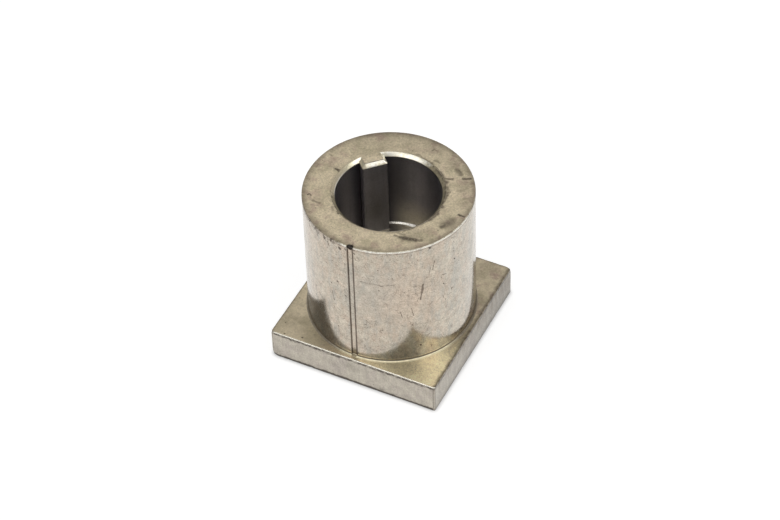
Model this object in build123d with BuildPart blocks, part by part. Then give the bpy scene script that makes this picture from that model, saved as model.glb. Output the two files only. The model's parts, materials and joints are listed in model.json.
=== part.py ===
from build123d import *
import os

# Mower blade adapter, pressed and sintered from steel powder as one piece. A square plate
# carries a round hub. The hub has a keyed socket for the end of the engine shaft, and the
# blade bolt passes through the floor of the socket. The origin is the middle of the plate's
# bottom face, the hub stands along +Z, and the plate's sides lie along X and Y.

# Square plate that the blade lies against, and how far it reaches past the hub on each side
plate_margin = 1.5
plate_height = 8.2
plate_corner_radius = 0.4
plate_top_bevel = 0.2
plate_bottom_radius = 0.15

# Round hub
hub_diameter = 41.0
hub_top = 45.0
hub_foot_radius = 0.5
hub_rim_bevel = 0.15

# Socket for a 1 in shaft, open at the top
shaft_diameter = 25.4
shaft_clearance = 0.05
socket_floor = 22.0
socket_mouth_bevel = 0.8
socket_floor_bevel = 0.35

# Key that is one with the socket's wall, for the 1/4 in keyway of the shaft
keyway_width = 6.35
key_clearance = 0.05
key_reach = 9.8
key_angle = 135.0
key_edge_radius = 0.35

# Hole for the blade bolt
bolt_hole_diameter = 10.5
bolt_hole_bevel = 0.5

# Flute that the press leaves down the hub, and the low strip on the plate at its foot
flute_width = 1.3
flute_depth = 0.3
flute_angle = -90.0
strip_height = 0.15

# Sizes that follow from the ones above
hub_radius = hub_diameter / 2
hub_height = hub_top - plate_height
plate_side = hub_diameter + 2 * plate_margin
socket_radius = (shaft_diameter + shaft_clearance) / 2
socket_depth = hub_top - socket_floor
key_width = keyway_width - key_clearance
bolt_hole_radius = bolt_hole_diameter / 2
flute_floor = hub_radius - flute_depth
flute_reach = flute_depth + hub_foot_radius
strip_length = plate_side / 2 - plate_top_bevel - flute_floor

with BuildPart() as blade_adapter:
    # Square plate, beveled round its top and rounded round its underside
    with BuildSketch():
        RectangleRounded(plate_side, plate_side, plate_corner_radius)
    extrude(amount=plate_height)
    plate_top_edges = faces().sort_by(Axis.Z)[-1].edges()
    chamfer(plate_top_edges, plate_top_bevel)
    plate_bottom_edges = faces().sort_by(Axis.Z)[0].edges()
    fillet(plate_bottom_edges, plate_bottom_radius)

    # Hub, with a small radius where it meets the plate
    with BuildSketch(Plane.XY.offset(plate_height)):
        Circle(hub_radius)
    extrude(amount=hub_height)
    circles_on_plate = edges().filter_by(GeomType.CIRCLE).filter_by_position(
        Axis.Z, plate_height, plate_height
    )
    hub_foot = circles_on_plate.sort_by(SortBy.RADIUS)[-1]
    fillet(hub_foot, hub_foot_radius)

    # Socket from the top of the hub, cut all round the key
    with BuildSketch(Plane.XY.offset(hub_top)):
        Circle(socket_radius)
        with PolarLocations(key_reach, 1, start_angle=key_angle):
            Rectangle(
                socket_radius,
                key_width,
                align=(Align.MIN, Align.CENTER),
                mode=Mode.SUBTRACT,
            )
    extrude(amount=-socket_depth, mode=Mode.SUBTRACT)

    # Bevels of the rim and the mouth, which both run all round the hub's top face
    hub_face = faces().sort_by(Axis.Z)[-1]
    chamfer(hub_face.outer_wire().edges(), hub_rim_bevel)
    hub_face = faces().sort_by(Axis.Z)[-1]
    chamfer(hub_face.inner_wires()[0].edges(), socket_mouth_bevel)

    # Bevel in the corner between the socket's wall and its floor
    circles_on_floor = edges().filter_by(GeomType.CIRCLE).filter_by_position(
        Axis.Z, socket_floor, socket_floor
    )
    chamfer(circles_on_floor, socket_floor_bevel)

    # Rounded front corners of the key
    key_corners = edges().filter_by(Axis.Z).sort_by_distance((0, 0, hub_top))[:2]
    fillet(key_corners, key_edge_radius)

    # Bolt hole through the socket's floor, beveled at the underside
    with Locations((0, 0, socket_floor)):
        Hole(bolt_hole_radius)
    underside = faces().sort_by(Axis.Z)[0]
    chamfer(underside.inner_wires()[0].edges(), bolt_hole_bevel)

    # Flute down the whole hub, with a flat floor
    with BuildSketch(Plane.XY.offset(plate_height)):
        with PolarLocations(flute_floor, 1, start_angle=flute_angle):
            Rectangle(flute_reach, flute_width, align=(Align.MIN, Align.CENTER))
    extrude(amount=hub_height, mode=Mode.SUBTRACT)

    # Strip from the foot of the flute to the edge of the plate
    with BuildSketch(Plane.XY.offset(plate_height)):
        with PolarLocations(flute_floor, 1, start_angle=flute_angle):
            Rectangle(strip_length, flute_width, align=(Align.MIN, Align.CENTER))
    extrude(amount=strip_height)

blade_adapter.part.label = "blade_adapter"
os.makedirs("parts", exist_ok=True)
export_step(blade_adapter.part, "parts/blade_adapter.step")
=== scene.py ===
import json
import math

import bmesh
import bpy
from mathutils import Matrix, Vector, noise


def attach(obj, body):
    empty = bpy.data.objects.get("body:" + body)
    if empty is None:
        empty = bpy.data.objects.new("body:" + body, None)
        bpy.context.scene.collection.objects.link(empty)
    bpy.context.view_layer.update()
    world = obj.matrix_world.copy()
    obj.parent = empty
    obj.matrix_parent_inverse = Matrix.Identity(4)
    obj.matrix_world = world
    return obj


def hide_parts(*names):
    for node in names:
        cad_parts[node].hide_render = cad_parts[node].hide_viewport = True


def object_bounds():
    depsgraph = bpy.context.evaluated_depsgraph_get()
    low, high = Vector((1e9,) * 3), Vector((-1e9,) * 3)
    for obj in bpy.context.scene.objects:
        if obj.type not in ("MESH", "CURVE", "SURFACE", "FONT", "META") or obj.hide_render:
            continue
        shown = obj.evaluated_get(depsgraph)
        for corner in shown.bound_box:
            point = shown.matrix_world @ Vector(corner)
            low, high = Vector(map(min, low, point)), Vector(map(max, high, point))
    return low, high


# Mower blade adapter, one piece of pressed and sintered steel, on a white studio floor.
# Lengths here are millimetres until the finished mesh is scaled to metres.
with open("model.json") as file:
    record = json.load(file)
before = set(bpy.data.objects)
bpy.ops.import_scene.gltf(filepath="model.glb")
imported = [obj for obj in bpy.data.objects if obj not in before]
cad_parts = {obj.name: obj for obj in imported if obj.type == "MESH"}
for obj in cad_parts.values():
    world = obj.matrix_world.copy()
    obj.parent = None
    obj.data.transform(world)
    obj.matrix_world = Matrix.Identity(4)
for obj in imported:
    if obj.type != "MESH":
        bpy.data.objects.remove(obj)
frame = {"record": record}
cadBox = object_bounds()
mm = 0.001
tiny = 0.001                   # millimetres by which places are compared
mounts = {mount["name"]: mount["dims"] for mount in frame["record"]["mounts"]}
print("frame loaded")

adapter = {
    "node": "blade_adapter",
    "name": "adapter_body",
    "slot": "sintered_steel",
    "columns": 720,            # mesh columns all round, a multiple of 8
    "plateHalf": cadBox[1].x / mm,
    "hubTop": cadBox[1].z / mm,
    "plateTop": 8.2,
    "plateCorner": 0.4,
    "plateTopEdge": 0.2,
    "plateBottomEdge": 0.15,
    "hubRadius": 20.5,
    "hubFoot": 0.5,
    "hubRim": 0.15,
    "socketRadius": mounts["shaft_socket"]["r_mm"],
    "socketFloor": 22.0,
    "mouthBevel": 0.8,
    "floorBevel": 0.35,
    "softEdge": 0.06,          # rounding of the mouth's two edges
    "keyWidth": 6.3,
    "keyReach": 9.8,
    "keyAngle": 135.0,
    "keyCorner": 0.35,
    "boltRadius": mounts["bolt_hole"]["r_mm"],
    "boltBevel": 0.5,
    "fluteAngle": -90.0,
    "fluteHalf": 0.65,
    "fluteFloor": 20.2,
    "stripTop": 8.35,
    "sharpAngle": 35.0,
}
mouthRadius = adapter["socketRadius"] + adapter["mouthBevel"]

# Extra rings of the mesh: radii across flat faces, heights up the walls
rings = {
    "topFace": (13.7, 14.4, 15.6, 17.0, 18.2, 19.0, 19.4, 19.6, 19.8, 19.95, 20.05, 20.15, 20.25),
    "hubWall": (44.76, 44.66, 44.55, 44.35, 44.2, 44.0, 43.7, 43.3, 42.6, 41.5, 39.5, 37.5, 35.5, 33.5,
                31.5, 29.5, 27.5, 25.5, 23.5, 21.5, 19.5, 17.5, 15.5, 13.5, 12.0, 11.0, 10.2, 9.6, 9.1, 8.8),
    "plateTop": (21.1, 21.3, 21.5, 21.65, 21.73),
    "plateSide": (7.9, 7.75, 7.55, 7.3, 7.0, 6.5, 5.6, 4.4, 3.2, 2.2, 1.4, 0.9, 0.6, 0.4, 0.27),
    "socketWall": (44.0, 43.0, 40.0, 36.0, 32.0, 28.0, 25.0, 23.2, 22.6),
    "floor": (6.5, 8.0, 9.0, 10.5, 11.8),
    "underside": (6.2, 10.0, 16.0, 20.0, 21.3),
}

# How the mesh's columns leave their even spread to meet the plate's corners, the key and the flute
spread = {
    "plateCorner": math.radians(43),      # from the middle of a side to where a corner's columns start
    "smallestCorner": 0.05,
    "key": math.radians(14.5),            # how far the key's columns reach to either side of its middle
    "keyFront": 0.45,                     # share of them that goes to its front
    "keyCorner": 0.62,                    # and to its front and its front corner
    "keyCornerShrink": 0.4,               # by which the corner gets smaller along the mouth's bevel
    "topTurns": (math.radians(6.2), math.radians(9.8)),       # where the corner and the root lie on the top
    "topBlend": (14.4, 19.4),             # radii from which, and up to which, the columns turn back
    "floorTurns": (math.radians(24.0), math.radians(29.0)),
    "floorMiddle": 9.0,
    "flute": (0.0, 0.35, 0.70, 1.0, 1.0),           # places across half the flute, as a share of it
    "byFlute": 0.07,
    "fluteColumns": 3,                    # to either side of the middle
}

# Wear that changes the shape, in millimetres. Chips along stretches of the hub's rim, from one angle to
# the other, are so deep at most, and so wide each.
rimChips = (
    {"from": -146.0, "to": -93.0, "deep": 0.34, "wide": 0.55, "share": 0.50},
    {"from": -88.0, "to": -56.0, "deep": 0.13, "wide": 0.42, "share": 0.45},
    {"from": -180.0, "to": 180.0, "deep": 0.03, "wide": 0.60, "share": 0.40},
)
rimWear = {
    "reach": 1.0,
    "ease": 3.0,               # degrees over which a stretch starts and ends
    "falloff": 1.5,
    # Chips are painted darker the deeper they are, as shade together with dirt
    "darkDepth": 0.2,          # chips as deep as this are fully dark
    "seeds": (3.0, 7.0),       # of the first stretch, and from each to the next
}
chipNoise = {
    "fineSize": 0.4,
    "fineShare": 0.3,
    "start": 0.72,
    "startDrop": 0.4,
    "soft": 0.22,
}
edgeNicks = {
    "deep": 0.10,
    "wide": 0.9,
    "share": 0.32,
    "reach": 0.55,
    "seed": 40.0,
    "edges": ((adapter["plateTop"], 1.0, -1.0), (0.0, 1.4, 1.0)),    # height, strength, and up or down
}
wornCorners = (
    {"corner": (-22.0, -22.0, 0.0), "reach": 1.7, "deep": 0.42, "dirt": 0.4, "rise": 0.8},
    {"corner": (-22.0, -22.0, 8.2), "reach": 1.0, "deep": 0.24, "dirt": 0.9, "rise": -0.8},
    {"corner": (22.0, 22.0, 8.2), "reach": 1.4, "deep": 0.30, "dirt": 0.8, "rise": -0.8},
)
cornerFalloff = 1.3
fluteTopPit = {
    "center": (0.0, -20.2, 44.85),
    "size": (1.0, 0.85, 1.1),
    "deep": 0.5,
    "falloff": 0.7,
    "inward": 0.5,
    "dirt": 4.0,
}
diagonal = 0.7                 # share of a slanting step that goes inward, and that goes up or down


def addSection(bm):
    # Half of the adapter's section, as one closed line of corners in the XZ plane
    p = adapter
    # Radius, height, size of the corner's rounding, and its segments
    corners = (
        (p["boltRadius"], p["socketFloor"], 0, 0),
        (p["socketRadius"] - p["floorBevel"], p["socketFloor"], 0, 0),
        (p["socketRadius"], p["socketFloor"] + p["floorBevel"], 0, 0),
        (p["socketRadius"], p["hubTop"] - p["mouthBevel"], p["softEdge"], 2),
        (mouthRadius, p["hubTop"], p["softEdge"], 2),
        (p["hubRadius"], p["hubTop"], p["hubRim"], 5),
        (p["hubRadius"], p["plateTop"], p["hubFoot"], 8),
        (p["plateHalf"], p["plateTop"], p["plateTopEdge"], 5),
        (p["plateHalf"], 0.0, p["plateBottomEdge"], 6),
        (p["boltRadius"] + p["boltBevel"], 0.0, 0, 0),
        (p["boltRadius"], p["boltBevel"], 0, 0),
    )
    points = [bm.verts.new((radius, 0.0, z)) for radius, z, size, segments in corners]
    bm.faces.new(points)
    for point, (radius, z, size, segments) in zip(points, corners):
        if segments:
            bmesh.ops.bevel(bm, geom=[point], offset=size, offset_type="OFFSET", segments=segments,
                            profile=0.5, affect="VERTICES", material=-1)
    bmesh.ops.delete(bm, geom=bm.faces[:], context="FACES_ONLY")


def cutLine(bm, low, high, places, axis):
    # Cuts the part of the section between two points at every place along one axis
    for place in places:
        lines = [
            edge for edge in bm.edges
            if all(low[0] - tiny <= point.co.x <= high[0] + tiny
                   and low[1] - tiny <= point.co.z <= high[1] + tiny for point in edge.verts)
        ]
        ends = {point for edge in lines for point in edge.verts}
        bmesh.ops.bisect_plane(bm, geom=lines + list(ends), plane_co=axis * place, plane_no=axis)


def addRings(bm):
    # Cuts the section's straight lines where the rings of the mesh are wanted
    p = adapter
    outward = Vector((1, 0, 0))
    upward = Vector((0, 0, 1))
    cutLine(bm, (p["socketRadius"], p["hubTop"]), (p["hubRadius"], p["hubTop"]), rings["topFace"], outward)
    cutLine(bm, (p["hubRadius"], p["plateTop"]), (p["hubRadius"], p["hubTop"]), rings["hubWall"], upward)
    cutLine(bm, (p["hubRadius"], p["plateTop"]), (p["plateHalf"], p["plateTop"]), rings["plateTop"], outward)
    cutLine(bm, (p["plateHalf"], 0), (p["plateHalf"], p["plateTop"]), rings["plateSide"], upward)
    cutLine(bm, (p["socketRadius"], p["socketFloor"]), (p["socketRadius"], p["hubTop"]), rings["socketWall"],
            upward)
    cutLine(bm, (p["boltRadius"], p["socketFloor"]), (p["socketRadius"], p["socketFloor"]), rings["floor"],
            outward)
    cutLine(bm, (p["boltRadius"], 0), (p["plateHalf"], 0), rings["underside"], outward)


def spinSection(bm):
    # An eighth of a turn first and then seven copies, which is quicker than one long spin
    eighth = math.tau / 8
    bmesh.ops.spin(bm, geom=bm.verts[:] + bm.edges[:], cent=(0, 0, 0), axis=(0, 0, 1), angle=eighth,
                   steps=adapter["columns"] // 8)
    bmesh.ops.spin(bm, geom=bm.verts[:] + bm.edges[:] + bm.faces[:], cent=(0, 0, 0), axis=(0, 0, 1),
                   angle=7 * eighth, steps=7, use_duplicate=True)
    bmesh.ops.remove_doubles(bm, verts=bm.verts[:], dist=tiny / 2)


def clamped(value):
    return min(max(value, 0.0), 1.0)


def turned(x, y, angle):
    return Vector((x * math.cos(angle) - y * math.sin(angle), x * math.sin(angle) + y * math.cos(angle)))


def wrapped(angle):
    return (angle + math.pi) % math.tau - math.pi


def onCircle(angle, radius):
    return Vector((radius * math.cos(angle), radius * math.sin(angle)))


def onSquare(angle, half):
    # The same column on the plate's rounded square, whose half side is given
    p = adapter
    start = spread["plateCorner"]
    corner = max(p["plateCorner"] - (p["plateHalf"] - half), spread["smallestCorner"])
    straight = half - corner
    quarter = round(angle / (math.pi / 2)) * math.pi / 2
    local = wrapped(angle - quarter)
    if abs(local) <= start:
        return turned(half, straight * math.tan(local) / math.tan(start), quarter)
    turn = (abs(local) - start) / (math.pi / 4 - start) * math.pi / 4
    along = math.copysign(straight + corner * math.sin(turn), local)
    return turned(straight + corner * math.cos(turn), along, quarter)


def roundKey(angle, atCorner, atRoot):
    # The column's angle when the key's front corner and its root lie at the given angles
    span = spread["key"]
    cornerShare = spread["keyCorner"]
    keyAngle = math.radians(adapter["keyAngle"])
    local = wrapped(angle - keyAngle)
    share = abs(local) / span
    if share >= 1:
        rest = (abs(local) - span) / (math.pi - span)
        turn = atRoot + rest * (math.pi - atRoot)
    elif share > cornerShare:
        turn = atCorner + (share - cornerShare) / (1 - cornerShare) * (atRoot - atCorner)
    else:
        turn = share / cornerShare * atCorner
    return keyAngle + math.copysign(turn, local)


def onSocket(angle, radius):
    # The same column on the socket's outline, round the key. A radius above the socket's own is a
    # place on the mouth's bevel, where the key is narrower.
    p = adapter
    span = spread["key"]
    frontShare = spread["keyFront"]
    cornerShare = spread["keyCorner"]
    bevel = max(radius - p["socketRadius"], 0.0)
    half = p["keyWidth"] / 2 - bevel
    front = p["keyReach"] + bevel
    corner = max(p["keyCorner"] - spread["keyCornerShrink"] * bevel, spread["smallestCorner"])
    root = math.asin(half / radius)
    keyAngle = math.radians(p["keyAngle"])
    local = wrapped(angle - keyAngle)
    share = abs(local) / span
    if share >= 1:
        rest = (abs(local) - span) / (math.pi - span)
        return onCircle(keyAngle + math.copysign(root + rest * (math.pi - root), local), radius)
    if share < frontShare:
        out = front
        along = share / frontShare * (half - corner)
    elif share < cornerShare:
        turn = (share - frontShare) / (cornerShare - frontShare) * math.pi / 2
        out = front + corner * (1 - math.cos(turn))
        along = half - corner * (1 - math.sin(turn))
    else:
        start = front + corner
        end = math.sqrt(radius ** 2 - half ** 2)
        out = start + (share - cornerShare) / (1 - cornerShare) * (end - start)
        along = half
    return turned(out, math.copysign(along, local), keyAngle)


def placeInside(angle, radius):
    # On the hub's top face, the mouth, the socket's wall or its floor
    p = adapter
    floorEdge = p["socketRadius"] - p["floorBevel"]
    blendStart, blendEnd = spread["topBlend"]
    middle = spread["floorMiddle"]
    onTop = roundKey(angle, *spread["topTurns"])
    onFloor = roundKey(angle, *spread["floorTurns"])
    if radius > blendStart - tiny:
        share = (radius - blendStart) / (blendEnd - blendStart)
        return onCircle(onTop + wrapped(angle - onTop) * share, radius)
    if radius > mouthRadius:
        share = (radius - mouthRadius) / (blendStart - mouthRadius)
        return onSocket(angle, mouthRadius).lerp(onCircle(onTop, blendStart), share)
    if radius < middle + tiny:
        share = (radius - p["boltRadius"]) / (middle - p["boltRadius"])
        return onCircle(angle + wrapped(onFloor - angle) * share, radius)
    if radius < floorEdge:
        share = (radius - middle) / (floorEdge - middle)
        return onCircle(onFloor, middle).lerp(onSocket(angle, floorEdge), share)
    return onSocket(angle, radius)


def placeBelow(angle, radius):
    # On the bolt hole, the underside or the plate's side
    p = adapter
    start = p["boltRadius"] + p["boltBevel"]
    end = p["plateHalf"] - p["plateBottomEdge"]
    if radius <= start + tiny:
        return onCircle(angle, radius)
    share = min((radius - start) / (end - start), 1.0)
    return onCircle(angle, start).lerp(onSquare(angle, max(radius, end)), share)


def placeInFlute(across, radius, z):
    # On the flute's floor, its foot, or the low strip that runs from there to the plate's edge
    p = adapter
    plateInner = p["hubRadius"] + p["hubFoot"]
    footTop = p["plateTop"] + p["hubFoot"]
    depth = p["fluteFloor"]
    if radius > plateInner - tiny:
        atEdge = radius > p["plateHalf"] - p["plateTopEdge"] - tiny
        return Vector((across, -radius, p["plateTop"] if atEdge else p["stripTop"]))
    if z < footTop - tiny:
        # The flute's floor goes down to the strip, which then runs outward
        share = 2 * (footTop - z) / p["hubFoot"]
        outward = max(share - 1, 0.0) * (plateInner - depth)
        return Vector((across, -depth - outward, footTop + min(share, 1.0) * (p["stripTop"] - footTop)))
    blendEnd = spread["topBlend"][1]
    rimEnd = p["hubRadius"] - p["hubRim"]
    if radius < rimEnd + tiny and z > p["hubTop"] - tiny:
        depth = blendEnd + (radius - blendEnd) * (depth - blendEnd) / (rimEnd - blendEnd)
    return Vector((across, -depth, z))


def acrossFlute(column):
    # How far a column near the flute lies from its middle line, and None away from it
    half = adapter["fluteHalf"]
    places = [share * half for share in spread["flute"]] + [half + spread["byFlute"]]
    side = abs(column)
    return math.copysign(places[side], column) if side < len(places) else None


def placeOutside(angle, column, radius, z):
    # On the hub's rim, its wall and its foot, and on the plate's top face and edge
    p = adapter
    across = acrossFlute(column) if radius > spread["topBlend"][1] + tiny else None
    if across is not None and abs(column) <= spread["fluteColumns"]:
        return placeInFlute(across, radius, z)
    start = p["hubRadius"] + p["hubFoot"]
    end = p["plateHalf"] - p["plateTopEdge"]
    if radius > start - tiny:
        share = min((radius - start) / (end - start), 1.0)
        flat = onCircle(angle, start).lerp(onSquare(angle, max(radius, end)), share)
        return Vector((flat.x if across is None else across, flat.y, z))
    if across is not None:
        return Vector((across, -math.sqrt(radius ** 2 - across ** 2), z))
    return onCircle(angle, radius).to_3d() + Vector((0, 0, z))


def placeVertex(angle, column, radius, z):
    # Where a point of the plain spun section lies on the adapter
    blendEnd = spread["topBlend"][1]
    if z > adapter["plateTop"] - tiny and radius > blendEnd - tiny:
        return placeOutside(angle, column, radius, z)
    onTopOrInside = z > adapter["socketFloor"] - tiny and radius < blendEnd - tiny
    flat = placeInside(angle, radius) if onTopOrInside else placeBelow(angle, radius)
    return Vector((flat.x, flat.y, z))


def zoneOf(radius, z):
    # Which finish a face of the plain spun section takes
    p = adapter
    if radius < p["socketRadius"] + tiny and z < p["hubTop"] - p["mouthBevel"]:
        floorSlope = p["socketFloor"] + tiny < z < p["socketFloor"] + p["floorBevel"]
        if floorSlope and radius > p["boltRadius"] + tiny:
            return "floorBevel"
        if z > p["socketFloor"] - tiny:
            return "socket"
        return "hole" if z > tiny else "plateTop"
    if radius < mouthRadius + tiny and z > p["socketFloor"]:
        return "mouth"
    if z > p["hubTop"] - tiny:
        return "hubTop"
    if z > p["plateTop"] + tiny and radius < p["hubRadius"] + p["hubFoot"]:
        if z < p["plateTop"] + p["hubFoot"]:
            return "foot"
        return "rim" if z > p["hubTop"] - p["hubRim"] else "skin"
    if z > p["plateTop"] - tiny or z < tiny:
        return "plateTop"
    return "plateEdge" if z > p["plateTop"] - p["plateTopEdge"] + tiny else "side"


zones = ("skin", "hubTop", "plateTop", "foot", "side", "socket", "mouth", "rim", "plateEdge", "floorBevel",
         "hole")


def chipDepth(place, wide, share, seed):
    # 0 where the edge is whole, up to 1 in the middle of a chip
    broad = noise.noise(place / wide + Vector((seed, 0, 0)))
    fine = noise.noise(place / (wide * chipNoise["fineSize"]) + Vector((0, seed, 0)))
    value = (1 + broad + chipNoise["fineShare"] * (fine - broad)) / 2
    start = chipNoise["start"] - chipNoise["startDrop"] * share
    return clamped((value - start) / chipNoise["soft"])


# Each of these moves a placed point inward where the adapter is worn, and returns how much dirt and painted
# shade its colour gets
def chipRim(point, outward, radius, z):
    angle = math.degrees(math.atan2(point.y, point.x))
    gap = math.hypot(radius - adapter["hubRadius"], z - adapter["hubTop"])
    dirt = 0.0
    if gap < rimWear["reach"]:
        near = (1 - gap / rimWear["reach"]) ** rimWear["falloff"]
        seed, seedStep = rimWear["seeds"]
        for chip in rimChips:
            if chip["from"] <= angle <= chip["to"]:
                ease = min(angle - chip["from"], chip["to"] - angle, rimWear["ease"]) / rimWear["ease"]
                depth = chipDepth(outward * adapter["hubRadius"], chip["wide"], chip["share"], seed) * ease
                point -= (outward + Vector((0, 0, 1))) * (chip["deep"] * depth * near * diagonal)
                dirt = max(dirt, depth * near * min(chip["deep"] / rimWear["darkDepth"], 1.0))
            seed += seedStep
    return dirt


def pitFluteTop(point, outward):
    pit = fluteTopPit
    offset = point - Vector(pit["center"])
    gap = Vector([distance / size for distance, size in zip(offset, pit["size"])]).length
    if gap >= 1:
        return 0.0
    point -= (outward * pit["inward"] + Vector((0, 0, 1))) * (pit["deep"] * (1 - gap) ** pit["falloff"])
    return clamped(pit["dirt"] * (1 - gap))


def nickEdges(point, outward, radius, z):
    for edgeZ, strength, rise in edgeNicks["edges"]:
        gap = math.hypot(radius - adapter["plateHalf"], z - edgeZ)
        if gap < edgeNicks["reach"]:
            near = 1 - gap / edgeNicks["reach"]
            nick = chipDepth(Vector((point.x, point.y, edgeZ)), edgeNicks["wide"], edgeNicks["share"],
                             edgeNicks["seed"])
            inward = Vector((-outward.x, -outward.y, rise))
            point += inward * (edgeNicks["deep"] * strength * nick * near * diagonal)
    return 0.0


def wearCorners(point, outward):
    dirt = 0.0
    for worn in wornCorners:
        gap = (point - Vector(worn["corner"])).length
        if gap < worn["reach"]:
            near = 1 - gap / worn["reach"]
            inward = Vector((-outward.x, -outward.y, worn["rise"])).normalized()
            point += inward * (worn["deep"] * near ** cornerFalloff)
            dirt = max(dirt, worn["dirt"] * near)
    return dirt


def wearShape(point, radius, z):
    outward = Vector((point.x, point.y, 0)).normalized()
    return max(chipRim(point, outward, radius, z), pitFluteTop(point, outward),
               nickEdges(point, outward, radius, z), wearCorners(point, outward))


def makeAdapter():
    p = adapter
    bm = bmesh.new()
    addSection(bm)
    addRings(bm)
    spinSection(bm)
    print("section spun:", len(bm.verts), "points")
    for face in bm.faces:
        center = face.calc_center_median()
        radius = sum(math.hypot(v.co.x, v.co.y) for v in face.verts) / len(face.verts)
        face.material_index = zones.index(zoneOf(radius, center.z))
        face.smooth = True
    dirtAndShadeLayer = bm.verts.layers.float.new("dirt")
    step = math.tau / p["columns"]
    for vertex in bm.verts:
        radius = math.hypot(vertex.co.x, vertex.co.y)
        z = vertex.co.z
        angle = math.atan2(vertex.co.y, vertex.co.x)
        column = round(wrapped(angle - math.radians(p["fluteAngle"])) / step)
        point = placeVertex(angle, column, radius, z)
        vertex[dirtAndShadeLayer] = wearShape(point, radius, z)
        vertex.co = point
    bmesh.ops.recalc_face_normals(bm, faces=bm.faces[:])
    for edge in bm.edges:
        if len(edge.link_faces) == 2:
            edge.smooth = edge.calc_face_angle(0.0) < math.radians(p["sharpAngle"])
    bmesh.ops.scale(bm, vec=(mm, mm, mm), verts=bm.verts[:])
    mesh = bpy.data.meshes.new(p["name"])
    bm.to_mesh(mesh)
    openEdges = sum(1 for edge in bm.edges if len(edge.link_faces) != 2)
    print("adapter shaped:", len(mesh.polygons), "faces,", openEdges, "open edges, volume",
          round(bm.calc_volume() / mm ** 3))
    bm.free()
    piece = bpy.data.objects.new(p["name"], mesh)
    bpy.context.scene.collection.objects.link(piece)
    return piece


# Small helpers for node trees
def addNode(tree, kind, inputs=None, **settings):
    node = tree.nodes.new(kind)
    for name, value in settings.items():
        setattr(node, name, value)
    for key, value in (inputs or {}).items():
        if isinstance(value, bpy.types.NodeSocket):
            tree.links.new(value, node.inputs[key])
        else:
            node.inputs[key].default_value = value
    return node


def calc(tree, operation, a, b=0.0, clamp=False):
    return addNode(tree, "ShaderNodeMath", {0: a, 1: b}, operation=operation, use_clamp=clamp).outputs[0]


def vectorCalc(tree, operation, a, b=(0, 0, 0)):
    return addNode(tree, "ShaderNodeVectorMath", {0: a, 1: b}, operation=operation)


def mixColor(tree, share, a, b, blend="MIX"):
    return addNode(tree, "ShaderNodeMix", {0: share, 6: a, 7: b}, data_type="RGBA",
                   blend_type=blend).outputs[2]


def mapRange(tree, value, low, high, toLow=0.0, toHigh=1.0):
    return addNode(tree, "ShaderNodeMapRange", {0: value, 1: low, 2: high, 3: toLow, 4: toHigh},
                   interpolation_type="SMOOTHSTEP").outputs[0]


def scaled(tree, vector, factor):
    return addNode(tree, "ShaderNodeVectorMath", {0: vector, "Scale": factor}, operation="SCALE").outputs[0]


def plus(tree, a, b):
    return calc(tree, "ADD", a, b)


def less(tree, a, b):
    return calc(tree, "SUBTRACT", a, b)


def times(tree, *values):
    total = values[0]
    for value in values[1:]:
        total = calc(tree, "MULTIPLY", total, value)
    return total


def strongest(tree, masks):
    total = masks[0]
    for mask in masks[1:]:
        total = calc(tree, "MAXIMUM", total, mask)
    return total


def between(tree, share, low, high):
    # From low where the share is 0 to high where it is 1
    return plus(tree, times(tree, share, high - low), low)


def newGroup(name, inputs, output):
    # A node group whose inputs are numbers, except Place, From and To
    group = bpy.data.node_groups.new(name, "ShaderNodeTree")
    for socketName, value in inputs.items():
        kind = "NodeSocketVector" if isinstance(value, tuple) else "NodeSocketFloat"
        socket = group.interface.new_socket(name=socketName, in_out="INPUT", socket_type=kind)
        socket.default_value = value
    group.interface.new_socket(name=output, in_out="OUTPUT", socket_type="NodeSocketFloat")
    start = group.nodes.new("NodeGroupInput").outputs
    end = group.nodes.new("NodeGroupOutput").inputs[output]
    return group, start, end


def useGroup(tree, group, **values):
    node = addNode(tree, "ShaderNodeGroup", node_tree=group)
    for name, value in values.items():
        if isinstance(value, bpy.types.NodeSocket):
            tree.links.new(value, node.inputs[name])
        else:
            node.inputs[name].default_value = value
    return node.outputs[0]


def moved(tree, place, size, reach):
    # The same place moved about a little, so that a mark's edge is uneven
    wave = addNode(tree, "ShaderNodeTexNoise",
                   {"Vector": place, "Scale": 1 / size, "Detail": patterns["waveDetail"]})
    shift = vectorCalc(tree, "SUBTRACT", wave.outputs["Color"], (0.5, 0.5, 0.5)).outputs[0]
    return vectorCalc(tree, "ADD", place, scaled(tree, shift, 2 * reach)).outputs[0]


# How the shared patterns are drawn
patterns = {
    "waveDetail": 2.0,
    "cloudDetail": 5.0,
    "cloudRough": 0.6,
    "grainDetail": 3.0,
    "smallestSpeck": 0.35,                       # as a share of the largest
    "speckCore": 0.55,                           # share of a speck that is fully dark
    "scratchBends": ((2.6, 1.7), (0.8, 0.16)),   # size and reach of the waves that bend the scratches
    "scratchRows": 9.0,                          # from one row to the next, in widths
    "scratchEnds": (0.10, 0.44),                 # where it starts to fade and where it ends, along it
    "scratchEdge": (0.02, 0.09),                 # and across it
    "faintest": 0.3,
}


def makeClouds():
    # Soft blotches of a given size
    inputs = {"Place": (0, 0, 0), "Size": 1.0, "Low": 0.35, "High": 0.65}
    tree, start, end = newGroup("clouds", inputs, "Mask")
    place = vectorCalc(tree, "DIVIDE", start["Place"], start["Size"]).outputs[0]
    value = addNode(tree, "ShaderNodeTexNoise",
                    {"Vector": place, "Scale": 1.0, "Detail": patterns["cloudDetail"],
                     "Roughness": patterns["cloudRough"]})
    tree.links.new(mapRange(tree, value.outputs[0], start["Low"], start["High"]), end)
    return tree


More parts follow.
